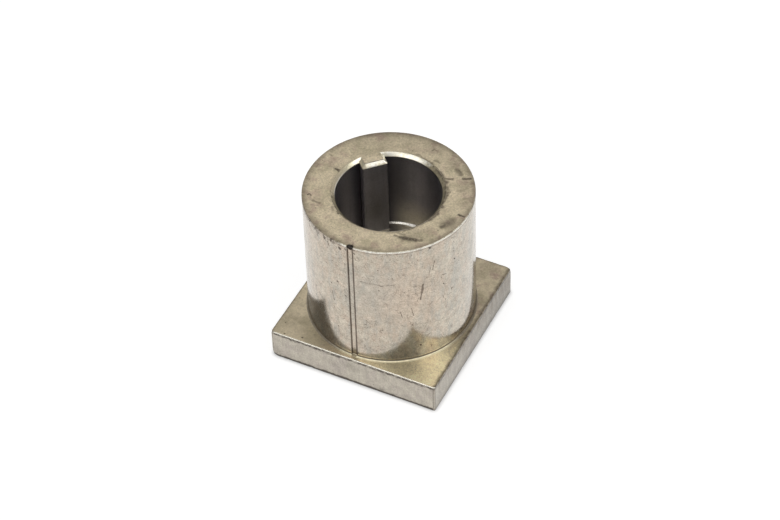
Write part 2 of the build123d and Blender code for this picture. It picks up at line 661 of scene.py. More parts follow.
def makeSpecks():
    # Small round specks, one in a share of the cells
    inputs = {"Place": (0, 0, 0), "Spacing": 1.0, "Size": 0.2, "Share": 0.3}
    tree, start, end = newGroup("specks", inputs, "Mask")
    place = vectorCalc(tree, "DIVIDE", start["Place"], start["Spacing"]).outputs[0]
    cells = addNode(tree, "ShaderNodeTexVoronoi", {"Vector": place, "Scale": 1.0})
    chances = addNode(tree, "ShaderNodeSeparateColor", {0: cells.outputs["Color"]}).outputs
    present = calc(tree, "LESS_THAN", chances[0], start["Share"])
    size = times(tree, start["Size"], mapRange(tree, chances[1], 0.0, 1.0, patterns["smallestSpeck"], 1.0))
    core = times(tree, size, patterns["speckCore"])
    disc = mapRange(tree, cells.outputs["Distance"], core, size, 1.0, 0.0)
    tree.links.new(times(tree, present, disc), end)
    return tree


def makeScratches():
    # Short fine scratches at one slant on a flat pattern, its x and y in millimetres
    inputs = {"Place": (0, 0, 0), "Slant": 0.0, "Length": 3.0, "Width": 0.1, "Share": 0.3}
    tree, start, end = newGroup("scratches", inputs, "Mask")
    bent = start["Place"]
    for size, reach in patterns["scratchBends"]:
        bent = moved(tree, bent, size, reach)
    around = addNode(tree, "ShaderNodeVectorRotate", {"Vector": bent, "Angle": start["Slant"]},
                     rotation_type="Z_AXIS")
    parts = addNode(tree, "ShaderNodeSeparateXYZ", {0: around.outputs[0]}).outputs
    along = calc(tree, "DIVIDE", parts[0], start["Length"])
    across = calc(tree, "DIVIDE", parts[1], times(tree, start["Width"], patterns["scratchRows"]))
    flat = addNode(tree, "ShaderNodeCombineXYZ", {0: along, 1: across}).outputs[0]
    cells = addNode(tree, "ShaderNodeTexVoronoi", {"Vector": flat, "Scale": 1.0}, voronoi_dimensions="2D")
    offset = vectorCalc(tree, "SUBTRACT", flat, cells.outputs["Position"]).outputs[0]
    gaps = addNode(tree, "ShaderNodeSeparateXYZ", {0: offset}).outputs
    ends = mapRange(tree, calc(tree, "ABSOLUTE", gaps[0]), *patterns["scratchEnds"], 1.0, 0.0)
    line = mapRange(tree, calc(tree, "ABSOLUTE", gaps[1]), *patterns["scratchEdge"], 1.0, 0.0)
    chances = addNode(tree, "ShaderNodeSeparateColor", {0: cells.outputs["Color"]}).outputs
    present = calc(tree, "LESS_THAN", chances[0], start["Share"])
    strength = mapRange(tree, chances[1], 0.0, 1.0, patterns["faintest"], 1.0)
    tree.links.new(times(tree, ends, line, present, strength), end)
    return tree


def makeStroke():
    # A dab or stroke from one point to another, with a soft edge
    inputs = {"Place": (0, 0, 0), "From": (0, 0, 0), "To": (0, 0, 1), "Width": 0.2, "Soft": 0.5}
    tree, start, end = newGroup("stroke", inputs, "Mask")
    line = vectorCalc(tree, "SUBTRACT", start["To"], start["From"]).outputs[0]
    away = vectorCalc(tree, "SUBTRACT", start["Place"], start["From"]).outputs[0]
    reach = vectorCalc(tree, "DOT_PRODUCT", away, line).outputs["Value"]
    square = vectorCalc(tree, "DOT_PRODUCT", line, line).outputs["Value"]
    share = calc(tree, "DIVIDE", reach, square, clamp=True)
    gap = vectorCalc(tree, "DISTANCE", away, scaled(tree, line, share)).outputs["Value"]
    core = times(tree, start["Width"], less(tree, 1.0, start["Soft"]))
    tree.links.new(mapRange(tree, gap, core, start["Width"], 1.0, 0.0), end)
    return tree


def makeBand():
    # A line where a value passes its center, with a soft edge
    inputs = {"Value": 0.0, "Center": 0.0, "Half": 0.2, "Soft": 0.5}
    tree, start, end = newGroup("band", inputs, "Mask")
    gap = calc(tree, "ABSOLUTE", less(tree, start["Value"], start["Center"]))
    core = times(tree, start["Half"], less(tree, 1.0, start["Soft"]))
    tree.links.new(mapRange(tree, gap, core, start["Half"], 1.0, 0.0), end)
    return tree


def makeGrain():
    # A gain near 1 that makes a color uneven, from spots of a given size down to fine grain
    inputs = {"Place": (0, 0, 0), "Size": 1.0, "Rough": 0.6, "Strength": 0.2}
    tree, start, end = newGroup("grain", inputs, "Gain")
    place = vectorCalc(tree, "DIVIDE", start["Place"], start["Size"]).outputs[0]
    value = addNode(tree, "ShaderNodeTexNoise",
                    {"Vector": place, "Scale": 1.0, "Detail": patterns["grainDetail"],
                     "Roughness": start["Rough"]})
    swing = times(tree, less(tree, value.outputs[0], 0.5), 2.0)
    tree.links.new(plus(tree, times(tree, swing, start["Strength"]), 1.0), end)
    return tree


clouds = makeClouds()
specks = makeSpecks()
scratches = makeScratches()
stroke = makeStroke()
band = makeBand()
grain = makeGrain()


# Places on the adapter, in millimetres
def millimetrePlace(tree):
    place = addNode(tree, "ShaderNodeTexCoord").outputs["Object"]
    return addNode(tree, "ShaderNodeMapping", {"Vector": place, "Scale": (1 / mm, 1 / mm, 1 / mm)}).outputs[0]


def upright(tree, place, share):
    # The same place with its height pressed together, so that a pattern gets long upright marks
    return addNode(tree, "ShaderNodeMapping", {"Vector": place, "Scale": (1.0, 1.0, share)}).outputs[0]


def placeParts(tree, place):
    # x, y, z and the distance from the hub's axis
    parts = addNode(tree, "ShaderNodeSeparateXYZ", {0: place}).outputs
    flat = addNode(tree, "ShaderNodeCombineXYZ", {0: parts[0], 1: parts[1]}).outputs[0]
    radius = addNode(tree, "ShaderNodeVectorMath", {0: flat}, operation="LENGTH").outputs["Value"]
    return parts[0], parts[1], parts[2], radius


def unrolled(tree, x, y, z):
    # The hub's wall laid flat: x runs round it and y up it
    around = times(tree, calc(tree, "ARCTAN2", y, x), adapter["hubRadius"])
    return addNode(tree, "ShaderNodeCombineXYZ", {0: around, 1: z}).outputs[0]


def toward(tree, place, angle):
    # How far a place lies from the axis in one direction
    flat = onCircle(math.radians(angle), 1.0)
    return vectorCalc(tree, "DOT_PRODUCT", place, (flat.x, flat.y, 0)).outputs["Value"]


def wallPoint(angle, z):
    flat = onCircle(math.radians(angle), adapter["hubRadius"])
    return (flat.x, flat.y, z)


# Masks and gains. The numbers that follow the place come from the finish's dictionary:
#   side     angle of a direction, then where along it the value starts and ends, and both values
#   cloud    size of the blotches, then the noise at which they start and are full
#   speck    spacing, size and share
#   grain    size, roughness and strength
#   uneven   size and roughness of a grain, then its low and high gain, and the values for both
#   swing    size and roughness of a grain, and how far it reaches to either side of 0
#   band     center, half width and softness
def sideOf(tree, place, angle, start, end, fromValue=0.0, toValue=1.0):
    return mapRange(tree, toward(tree, place, angle), start, end, fromValue, toValue)


def cloudOf(tree, place, size, low, high):
    return useGroup(tree, clouds, Place=place, Size=size, Low=low, High=high)


def speckOf(tree, place, spacing, size, share):
    return useGroup(tree, specks, Place=place, Spacing=spacing, Size=size, Share=share)


def grainOf(tree, place, size, rough, strength=1.0):
    return useGroup(tree, grain, Place=place, Size=size, Rough=rough, Strength=strength)


def unevenOf(tree, place, size, rough, low, high, fromValue, toValue):
    return mapRange(tree, grainOf(tree, place, size, rough), low, high, fromValue, toValue)


def swingOf(tree, place, size, rough, reach):
    return less(tree, grainOf(tree, place, size, rough, reach), 1.0)


def bandOf(tree, value, center, half, soft):
    return useGroup(tree, band, Value=value, Center=center, Half=half, Soft=soft)


def strokeOf(tree, place, start, end, width, soft):
    return useGroup(tree, stroke, Place=place, From=start, To=end, Width=width, Soft=soft)


def dabOf(tree, place, x, y, z, length, width, soft):
    # A stroke so short along x that it is a dab
    return strokeOf(tree, place, (x, y, z), (x + length, y, z), width, soft)


def grained(tree, color, place, grains):
    for numbers in grains:
        color = scaled(tree, color, grainOf(tree, place, *numbers))
    return color


def dirtAndShadeOf(tree):
    # What wearShape left in the mesh
    return addNode(tree, "ShaderNodeAttribute", attribute_name="dirt").outputs["Fac"]


pitFinish = {
    "color": (0.012, 0.010, 0.009, 1),
    "deep": (0.50, 1.0, 0.0, 0.82),     # from this share of dirt and painted shade to that one, the color's share
}


def darkPits(tree, color):
    # Painted shade with dirt: nearly black where a chip or a pit is deep
    return mixColor(tree, mapRange(tree, dirtAndShadeOf(tree), *pitFinish["deep"]), color, pitFinish["color"])


def newMaterial(name):
    material = bpy.data.materials.new(name)
    material.use_nodes = True
    material.node_tree.nodes.clear()
    return material, material.node_tree


def finishMaterial(tree, color, roughness, height, bump, metal=1.0):
    shader = addNode(tree, "ShaderNodeBsdfPrincipled",
                     {"Base Color": color, "Roughness": roughness, "Metallic": metal})
    strength, distance = bump
    relief = addNode(tree, "ShaderNodeBump",
                     {"Height": height, "Strength": strength, "Distance": distance * mm})
    tree.links.new(relief.outputs[0], shader.inputs["Normal"])
    out = addNode(tree, "ShaderNodeOutputMaterial")
    tree.links.new(shader.outputs[0], out.inputs[0])


# The hub's rim gets a painted highlight on the near side, from the flute on to the right
rimFinish = {
    "wornSide": (-50, 9.5, 14.8, 0.1, 1.0),
    "fromFlute": (-4.5, -1.5, 0.15, 1.0),           # x where it starts and is full, and both shares
    "uneven": (2.0, 0.6, 0.84, 1.02, 0.68, 1.0),
    "wall": (44.66, 44.78),                         # height on the wall where it starts and is full
    "wallSwing": (0.7, 0.7, 0.18),
    "top": (20.22, 20.34),                          # radius on the top where it starts and is full
    "topSwing": (0.7, 0.7, 0.20),
}


def rimHighlight(tree, place):
    x = placeParts(tree, place)[0]
    fromFlute = mapRange(tree, x, *rimFinish["fromFlute"])
    return times(tree, sideOf(tree, place, *rimFinish["wornSide"]), fromFlute,
                 unevenOf(tree, place, *rimFinish["uneven"]))


skinFinish = {
    "base": (0.520, 0.462, 0.378, 1),
    "rosy": (0.505, 0.425, 0.343, 1),
    "grey": (0.435, 0.408, 0.355, 1),
    "cool": (1.03, 1.06, 1.09, 1),
    "warm": (0.560, 0.455, 0.360, 1),
    "worn": (0.98, 0.96, 0.90, 1),
    "stain": (0.10, 0.075, 0.06, 1),
    "rosyClouds": (2.2, 0.40, 0.62),
    "greyClouds": (1.6, 0.44, 0.66),
    "greyUpright": 0.25,
    "greyShare": 0.75,
    # Broad patches: angle, height, width, share and color
    "patches": ((-77.0, 30.0, 11.0, 0.60, "grey"), (-53.0, 28.0, 13.0, 0.55, "warm")),
    "patchLength": (1.0, 2.0),                      # in degrees round the hub and in height
    "patchWaves": (3.0, 3.0),
    "grains": ((0.36, 0.8, 0.62), (5.0, 0.85, 0.28), (1.3, 0.6, 0.24)),
    # Painted reflection: the wall is cooler toward +X
    "coolSide": (8, 14.0, 20.0),
    "rough": (0.15, 0.23),
    "roughStain": 0.3,
    "heightGrain": (0.6, 0.7),
    "bump": (0.3, 0.005),
    "specks": ((0.8, 0.15, 0.35), (2.7, 0.08, 0.5)),
    "stainStrength": 0.88,
    # Fine scratches: slant, length, width and share
    "scratches": ((72, 2.6, 0.12, 0.45), (8, 3.0, 0.11, 0.42), (128, 1.8, 0.11, 0.45),
                  (40, 1.5, 0.10, 0.45), (100, 4.0, 0.10, 0.30)),
    "scratchStrength": (3.2, 0.6, 0.82, 1.12, 0.25, 0.72),
    # Darker strokes and dots: angle and height at both ends, and width
    "strokes": ((-41.6, 32.8, -42.7, 30.0, 0.46), (-42.8, 29.8, -43.6, 28.0, 0.28),
                (-41.2, 31.6, -42.2, 30.2, 0.24), (-32.8, 39.2, -34.4, 36.6, 0.24),
                (-36.0, 37.6, -37.2, 35.4, 0.16), (-83.0, 34.6, -70.0, 34.2, 0.22),
                (-70.0, 33.9, -60.0, 34.4, 0.20), (-57.3, 24.9, -56.0, 23.2, 0.20),
                (-105.9, 27.5, -104.0, 24.6, 0.14), (-49.8, 25.8, -48.6, 23.2, 0.16),
                (-27.0, 33.4, -24.0, 33.0, 0.18), (-118.3, 44.2, -117.5, 42.8, 0.34),
                (-107.3, 43.4, -106.5, 42.4, 0.36), (-75.5, 44.3, -63.0, 44.35, 0.17),
                (-104.2, 39.2, -102.8, 39.0, 0.16)),
    "strokeSoft": 0.9,
    "strokeStrength": 0.9,
    "dots": ((-100.6, 31.8, 0.34), (-16.2, 36.1, 0.26), (-36.5, 44.2, 0.44), (-110.8, 43.9, 0.48),
             (-26.2, 30.3, 0.24), (-102.0, 16.3, 0.24), (-44.3, 12.6, 0.36), (-94.7, 28.1, 0.26),
             (-97.6, 43.45, 0.58), (-105.1, 44.4, 0.34), (-87.0, 44.5, 0.22), (-94.2, 38.8, 0.16),
             (-128.2, 42.9, 0.34), (-121.5, 44.1, 0.30), (-116.5, 43.9, 0.26), (-110.2, 44.3, 0.34),
             (-93.3, 43.9, 0.24), (-106.2, 30.2, 0.22), (-87.0, 43.4, 0.26), (-131.8, 43.9, 0.30)),
    "dotSoft": 0.7,
    "dotLength": (0.5, -0.2),
    "waves": (0.45, 0.14),
    "broken": (0.5, 0.6, 0.72, 1.02, 0.55, 1.0),
    # Grime and painted shade in the flute: two lines of grime and painted shade in its corners, specks of
    # grime, painted shade toward its foot, and painted shade with dirt at its top
    "fluteLeft": (-0.65, 0.26, 0.7),
    "fluteLeftShare": 0.7,
    "fluteRight": (0.67, 0.36, 0.45),
    "fluteBroken": (0.45, 1.0, 0.8, 1.0),
    "fluteSpecks": (0.55, 0.24, 0.45),
    "fluteFoot": (8.4, 11.5, 0.75, 0.0),
    "fluteTop": (43.6, 44.8, 0.0, 0.8),
    # Painted shade along the hub's foot, and grime under the rim
    "footLine": (8.62, 8.85, 0.4, 0.0),
    "rimLine": (44.36, 0.24, 0.9),
    "rimLineShare": 0.5,
    "rimGrime": (43.2, 44.6),
    "rimGrimeSide": (-125, 16.5, 19.5),
    "rimGrimeClouds": (0.8, 0.46, 0.58),
}


def skinColor(tree, place, greyMask):
    finish = skinFinish
    color = mixColor(tree, cloudOf(tree, place, *finish["rosyClouds"]), finish["base"], finish["rosy"])
    color = mixColor(tree, times(tree, greyMask, finish["greyShare"]), color, finish["grey"])
    drifting = moved(tree, place, *finish["patchWaves"])
    around, up = finish["patchLength"]
    for angle, z, width, share, name in finish["patches"]:
        patch = strokeOf(tree, drifting, wallPoint(angle, z), wallPoint(angle + around, z + up), width, 1.0)
        color = mixColor(tree, times(tree, patch, share), color, finish[name])
    color = grained(tree, color, place, finish["grains"])
    # Painted reflection: a cooler tint toward +X
    return mixColor(tree, sideOf(tree, place, *finish["coolSide"]), color, finish["cool"], "MULTIPLY")


def skinMarks(tree, place, flat, broken):
    # Scratches everywhere, and the strokes and dots that the wall has in sight
    finish = skinFinish
    lines = [
        useGroup(tree, scratches, Place=flat, Slant=math.radians(slant), Length=length, Width=width,
                 Share=share)
        for slant, length, width, share in finish["scratches"]
    ]
    ragged = moved(tree, place, *finish["waves"])
    strokes = [
        strokeOf(tree, ragged, wallPoint(angle, z), wallPoint(endAngle, endZ), width, finish["strokeSoft"])
        for angle, z, endAngle, endZ, width in finish["strokes"]
    ]
    around, up = finish["dotLength"]
    dots = [
        strokeOf(tree, ragged, wallPoint(angle, z), wallPoint(angle + around, z + up), width,
                 finish["dotSoft"])
        for angle, z, width in finish["dots"]
    ]
    soft = times(tree, strongest(tree, lines), unevenOf(tree, place, *finish["scratchStrength"]))
    marked = times(tree, strongest(tree, strokes), broken, finish["strokeStrength"])
    return dots + [soft, marked]


def fluteGrimeAndShade(tree, place, x, y, z, broken):
    finish = skinFinish
    front = calc(tree, "LESS_THAN", y, 0.0)
    inside = times(tree, calc(tree, "LESS_THAN", calc(tree, "ABSOLUTE", x), adapter["fluteHalf"]), front)
    left = times(tree, bandOf(tree, x, *finish["fluteLeft"]), finish["fluteLeftShare"])
    corners = strongest(tree, [left, bandOf(tree, x, *finish["fluteRight"])])
    return [
        times(tree, corners, front, mapRange(tree, broken, *finish["fluteBroken"])),
        times(tree, speckOf(tree, place, *finish["fluteSpecks"]), inside),
        # Painted shade toward the flute's foot, and with dirt in its pit at the top
        times(tree, mapRange(tree, z, *finish["fluteFoot"]), inside),
        times(tree, mapRange(tree, z, *finish["fluteTop"]), inside),
    ]


def rimGrimeAndFootShade(tree, place, z, broken):
    finish = skinFinish
    return [
        # Painted shade along the hub's foot
        mapRange(tree, z, *finish["footLine"]),
        times(tree, bandOf(tree, z, *finish["rimLine"]), broken, finish["rimLineShare"]),
        times(tree, mapRange(tree, z, *finish["rimGrime"]), sideOf(tree, place, *finish["rimGrimeSide"]),
              cloudOf(tree, place, *finish["rimGrimeClouds"])),
    ]


def makeSkin():
    # The hub's wall, burnished by the die
    material, tree = newMaterial("die_burnished_steel")
    finish = skinFinish
    place = millimetrePlace(tree)
    x, y, z = placeParts(tree, place)[:3]
    greyMask = cloudOf(tree, upright(tree, place, finish["greyUpright"]), *finish["greyClouds"])
    color = skinColor(tree, place, greyMask)
    broken = unevenOf(tree, place, *finish["broken"])
    dots = [speckOf(tree, place, *numbers) for numbers in finish["specks"]]
    dark = strongest(tree, dots + skinMarks(tree, place, unrolled(tree, x, y, z), broken)
                     + fluteGrimeAndShade(tree, place, x, y, z, broken) + rimGrimeAndFootShade(tree, place, z, broken)
                     + [dirtAndShadeOf(tree)])
    darkShare = times(tree, dark, finish["stainStrength"])
    # Dark colour for stains and for the painted shade in the masks
    color = mixColor(tree, darkShare, color, finish["stain"])
    # Painted highlight along the rim, at the top of the wall
    height = plus(tree, z, swingOf(tree, place, *rimFinish["wallSwing"]))
    shine = times(tree, mapRange(tree, height, *rimFinish["wall"]), rimHighlight(tree, place))
    color = mixColor(tree, shine, color, finish["worn"])
    rough = mapRange(tree, greyMask, 0.0, 1.0, *finish["rough"])
    rough = plus(tree, rough, times(tree, darkShare, finish["roughStain"]))
    relief = less(tree, grainOf(tree, place, *finish["heightGrain"]), dots[0])
    finishMaterial(tree, darkPits(tree, color), rough, relief, finish["bump"])
    return material


pressedFinish = {
    "base": (0.66, 0.565, 0.405, 1),
    "olive": (0.53, 0.465, 0.325, 1),
    "rust": (0.47, 0.365, 0.285, 1),
    "stain": (0.085, 0.068, 0.052, 1),
    "cream": (0.98, 0.93, 0.70, 1),
    "oliveClouds": (3.6, 0.38, 0.70),
    "rustClouds": (2.4, 0.46, 0.70),
    "fineGrain": (0.50, 0.8),
    "broadGrain": (3.0, 0.7, 0.20),
    "stainStrength": 0.9,
    "rough": (0.36, 0.50),
    "heightGrain": (0.5, 0.8),
    "bump": (0.5, 0.008),
    "metal": 0.78,
}


def pressedColor(tree, place, rustShare, patchShare, grainShare):
    # Color of a face that the press left matte, and where it is olive
    finish = pressedFinish
    oliveMask = times(tree, cloudOf(tree, place, *finish["oliveClouds"]), patchShare)
    color = mixColor(tree, oliveMask, finish["base"], finish["olive"])
    rustMask = times(tree, cloudOf(tree, place, *finish["rustClouds"]), rustShare)
    color = mixColor(tree, rustMask, color, finish["rust"])
    return grained(tree, color, place, ((*finish["fineGrain"], grainShare), finish["broadGrain"])), oliveMask


def finishPressed(tree, color, oliveMask, dark, place, dots, shine=0.0):
    finish = pressedFinish
    # Dark colour for stains and for the painted shade in chips
    color = mixColor(tree, times(tree, dark, finish["stainStrength"]), color, finish["stain"])
    color = mixColor(tree, shine, color, finish["cream"])
    rough = mapRange(tree, oliveMask, 0.0, 1.0, *finish["rough"])
    relief = less(tree, grainOf(tree, place, *finish["heightGrain"]), dots)
    finishMaterial(tree, darkPits(tree, color), rough, relief, finish["bump"], finish["metal"])


hubTopFinish = {
    "rustReach": (14.5, 18.5, 0.35, 1.0),           # radius where rust starts and is full, and shares
    "patchShare": 1.0,
    "grainShare": 0.62,
    "grains": ((0.8, 0.9, 0.30),),
    # Painted light and shade: lighter on the near side, darker toward the far side
    "farSide": (105, 9.0, 19.5, 1.07, 0.84),
    "specks": (1.0, 0.15, 0.4),
    "waves": (0.9, 0.32),
    "broken": (0.5, 0.8, 0.66, 0.98, 0.40, 1.0),
    # Strokes: x and y at both ends, width and strength
    "strokes": ((-14.7, 1.55, -13.9, 1.45, 0.55, 1.0), (-14.1, 1.3, -13.4, 1.1, 0.40, 0.9),
                (-9.6, -10.4, -8.9, -11.2, 0.50, 0.5), (-16.8, -9.2, -16.5, -8.7, 0.32, 0.9),
                (-16.5, -8.7, -15.9, -8.9, 0.28, 0.8), (-14.6, -10.3, -12.9, -10.4, 0.55, 0.6),
                (-7.9, -11.2, -7.2, -11.7, 0.40, 0.9), (3.3, 16.7, 3.6, 17.5, 0.35, 0.7),
                (3.6, 17.5, 4.4, 17.2, 0.30, 0.7), (5.2, 14.0, 6.8, 13.7, 0.45, 0.5),
                (12.0, 13.3, 12.8, 12.7, 0.55, 0.8), (14.2, 11.1, 15.8, 11.8, 0.65, 1.0),
                (10.2, 9.4, 11.2, 9.7, 0.60, 0.9), (11.1, 9.6, 11.9, 10.0, 0.60, 0.9),
                (18.4, -0.35, 19.85, -0.40, 0.50, 1.0), (16.6, -5.5, 16.9, -4.9, 1.00, 0.9),
                (16.9, -4.7, 17.9, -2.9, 1.90, 0.75), (7.9, -12.7, 9.2, -12.6, 0.50, 0.7),
                (9.2, -12.6, 10.1, -12.6, 0.75, 0.9), (10.1, -12.6, 11.1, -12.4, 0.95, 1.0),
                (11.4, -12.3, 12.9, -12.0, 1.00, 1.0), (12.9, -12.0, 14.1, -11.6, 0.75, 0.8),
                (8.2, -11.7, 9.8, -11.6, 0.40, 0.5), (-18.5, 5.4, -17.6, 5.2, 0.4, 0.5),
                (11.5, 13.3, 13.0, 12.2, 1.0, 0.7), (17.2, 5.0, 18.9, 5.8, 0.7, 0.4),
                (15.4, 7.2, 16.6, 8.6, 0.6, 0.4)),
    "strokeSoft": 0.80,
    # Broad faint stains: x, y, radius and strength
    "stains": ((12.4, -11.4, 3.8, 0.28), (17.6, -4.0, 3.4, 0.50), (4.5, 17.4, 3.6, 0.20),
               (16.4, 9.6, 4.6, 0.34), (10.0, 15.0, 3.4, 0.34), (18.6, 3.0, 3.6, 0.22),
               (-17.5, 7.5, 2.6, 0.14)),
    "stainLength": 0.5,
    # Grime toward the rim: how it swings, and the radii where it starts and is full
    "rimSwing": (1.6, 0.8, 1.6),
    "rimGrime": (18.4, 20.6, 0.0, 0.60),
    "rimLine": (20.0, 20.4, 0.0, 0.6),
    # Grime round the mouth, a ring and a fine line, most on the right and none over the key
    "offKey": (12.6, 12.9, 1.0, 0.0),
    "rightSide": (10, -2.0, 11.0, 0.25, 1.0),
    "ringSwing": (1.8, 0.45, 1.8),
    "ring": (13.5, 0.9, 1.0),
    "ringShare": 0.95,
    "line": (13.68, 0.24, 0.9),
    "linePatches": (3.0, 0.6, 0.85, 1.1, 0.2, 0.8),
    # Hairlines where a grain passes 1, and where they show
    "hairGrain": (1.5, 0.6),
    "hairs": (1.0, 0.012, 0.8),
    "hairPatches": (2.6, 0.6, 0.98, 1.14, 0.0, 0.45),
}


def hubTopMarks(tree, place, broken):
    finish = hubTopFinish
    top = adapter["hubTop"]
    ragged = moved(tree, place, *finish["waves"])
    soft = finish["strokeSoft"]
    strokes = [
        times(tree, strokeOf(tree, ragged, (x, y, top), (endX, endY, top), width, soft), strength)
        for x, y, endX, endY, width, strength in finish["strokes"]
    ]
    stains = [
        times(tree, dabOf(tree, ragged, x, y, top, finish["stainLength"], width, 1.0), strength)
        for x, y, width, strength in finish["stains"]
    ]
    hairs = bandOf(tree, grainOf(tree, place, *finish["hairGrain"]), *finish["hairs"])
    return stains + [times(tree, strongest(tree, strokes), broken),
                     times(tree, hairs, unevenOf(tree, place, *finish["hairPatches"]))]


def hubTopGrime(tree, place, radius, broken):
    finish = hubTopFinish
    nearRim = plus(tree, radius, swingOf(tree, place, *finish["rimSwing"]))
    offKey = sideOf(tree, place, adapter["keyAngle"], *finish["offKey"])
    rightSide = sideOf(tree, place, *finish["rightSide"])
    nearMouth = plus(tree, radius, swingOf(tree, place, *finish["ringSwing"]))
    ring = times(tree, bandOf(tree, nearMouth, *finish["ring"]), rightSide, broken, finish["ringShare"],
                 offKey)
    line = times(tree, bandOf(tree, radius, *finish["line"]), unevenOf(tree, place, *finish["linePatches"]),
                 offKey, rightSide)
    return [mapRange(tree, nearRim, *finish["rimGrime"]), mapRange(tree, radius, *finish["rimLine"]),
            ring, line]


def makeHubTop():
    material, tree = newMaterial("pressed_hub_top")
    finish = hubTopFinish
    place = millimetrePlace(tree)
    radius = placeParts(tree, place)[3]
    rustShare = mapRange(tree, radius, *finish["rustReach"])
    color, oliveMask = pressedColor(tree, place, rustShare, finish["patchShare"], finish["grainShare"])
    color = grained(tree, color, place, finish["grains"])
    # Painted light and shade across the top face
    color = scaled(tree, color, sideOf(tree, place, *finish["farSide"]))
    broken = unevenOf(tree, place, *finish["broken"])
    dots = speckOf(tree, place, *finish["specks"])
    dark = strongest(tree, hubTopMarks(tree, place, broken) + hubTopGrime(tree, place, radius, broken)
                     + [dots, dirtAndShadeOf(tree)])
    # Painted highlight along the rim, at the top face's outer edge
    nearRim = plus(tree, radius, swingOf(tree, place, *rimFinish["topSwing"]))
    shine = times(tree, mapRange(tree, nearRim, *rimFinish["top"]), rimHighlight(tree, place))
    finishPressed(tree, color, oliveMask, dark, place, dots, shine)
    return material


plateTopFinish = {
    # Painted light: a golden tint on the near corner
    "golden": (0.98, 1.03, 1.0, 1),
    "mirrored": (0.64, 0.69, 0.82, 1),              # painted reflection: makes the plate darker where the hub's wall mirrors it
    "mirroredSide": (15, 10.0, 20.0, 1.0, 0.2),
    "rustSide": (20, 12.0, 21.0, 0.10, 1.0),
    # The near corner is cleaner and finer, and painted lighter and golden as light thrown back by the hub:
    # first its reach, then pairs away from it and in it
    "nearCorner": (-50, 14.0, 21.0),
    "patchShare": (0.9, 0.35),
    "grainShare": (0.46, 0.52),
    "cornerGrain": (0.26, 0.8),
    "cornerGrainStrength": 0.55,
    "cornerLight": (-50, 18.0, 26.0, 1.04, 1.33),
    "cornerDepth": (-19.0, -14.0, 0.06, 0.20),      # y where more light starts and is full, and gains
    # Painted light and shade: a lighter front strip, and darker left and right sides
    "frontStrip": (-19.0, -22.0, 1.0, 1.15),
    "leftSide": (-135, 18.0, 25.5, 1.0, 0.82),
    "rightSide": (25, 12.0, 22.0, 1.0, 0.84),
    # Painted highlight: a cream line where the hub's foot ends, in front
    "front": (-60, 13.5, 17.5),
    "creamLine": (21.07, 0.13, 0.6),
    "specks": (1.0, 0.15, 0.35),
    # Dots: x, y and width
    "dots": ((-14.1, -20.7, 0.24), (-18.6, -21.3, 0.18), (-20.1, -18.0, 0.15), (19.5, -6.0, 0.16)),
    "dotLength": 0.15,
    "dotSoft": 0.5,
    # Grime toward the edge on +X, which swings, and toward the two edges at the back
    "edgeSwing": (1.6, 0.8, 0.6),
    "edgeRight": (20.9, 21.9, 0.0, 0.8),
    "edgeBack": (21.3, 21.85, 0.0, 0.5),
}


def plateColor(tree, place, y):
    finish = plateTopFinish
    inCorner = sideOf(tree, place, *finish["nearCorner"])
    patchShare = between(tree, inCorner, *finish["patchShare"])
    grainShare = between(tree, inCorner, *finish["grainShare"])
    rustShare = sideOf(tree, place, *finish["rustSide"])
    color, oliveMask = pressedColor(tree, place, rustShare, patchShare, grainShare)
    cornerStrength = times(tree, inCorner, finish["cornerGrainStrength"])
    color = grained(tree, color, place, ((*finish["cornerGrain"], cornerStrength),))
    # Painted light on the near corner and the front, and painted shade on both sides
    cornerGain = plus(tree, times(tree, inCorner, mapRange(tree, y, *finish["cornerDepth"])), 1.0)
    color = scaled(tree, color, cornerGain)
    color = mixColor(tree, inCorner, color, finish["golden"], "MULTIPLY")
    color = scaled(tree, color, mapRange(tree, y, *finish["frontStrip"]))
    for side in ("cornerLight", "leftSide", "rightSide"):
        color = scaled(tree, color, sideOf(tree, place, *finish[side]))
    return color, oliveMask


def makePlateTop():
    # The plate's two faces and the bolt hole's bevel
    material, tree = newMaterial("pressed_plate")
    finish = plateTopFinish
    place = millimetrePlace(tree)
    x, y, _, radius = placeParts(tree, place)
    color, oliveMask = plateColor(tree, place, y)
    paths = addNode(tree, "ShaderNodeLightPath").outputs
    # Painted reflection: the plate is darker as the hub's wall mirrors it
    mirrored = times(tree, paths["Is Glossy Ray"], sideOf(tree, place, *finish["mirroredSide"]))
    color = mixColor(tree, mirrored, color, finish["mirrored"], "MULTIPLY")
    # Painted highlight where the hub's foot ends, in front
    creamLine = times(tree, bandOf(tree, radius, *finish["creamLine"]), sideOf(tree, place, *finish["front"]))
    color = mixColor(tree, creamLine, color, pressedFinish["cream"])
    dots = speckOf(tree, place, *finish["specks"])
    marks = [
        dabOf(tree, place, dotX, dotY, adapter["plateTop"], finish["dotLength"], width, finish["dotSoft"])
        for dotX, dotY, width in finish["dots"]
    ]
    nearEdge = plus(tree, x, swingOf(tree, place, *finish["edgeSwing"]))
    backEdge = strongest(tree, [times(tree, x, -1.0), y])
    dark = strongest(tree, marks + [dots, mapRange(tree, nearEdge, *finish["edgeRight"]),
                                    mapRange(tree, backEdge, *finish["edgeBack"]), dirtAndShadeOf(tree)])
    finishPressed(tree, color, oliveMask, dark, place, dots)
    return material


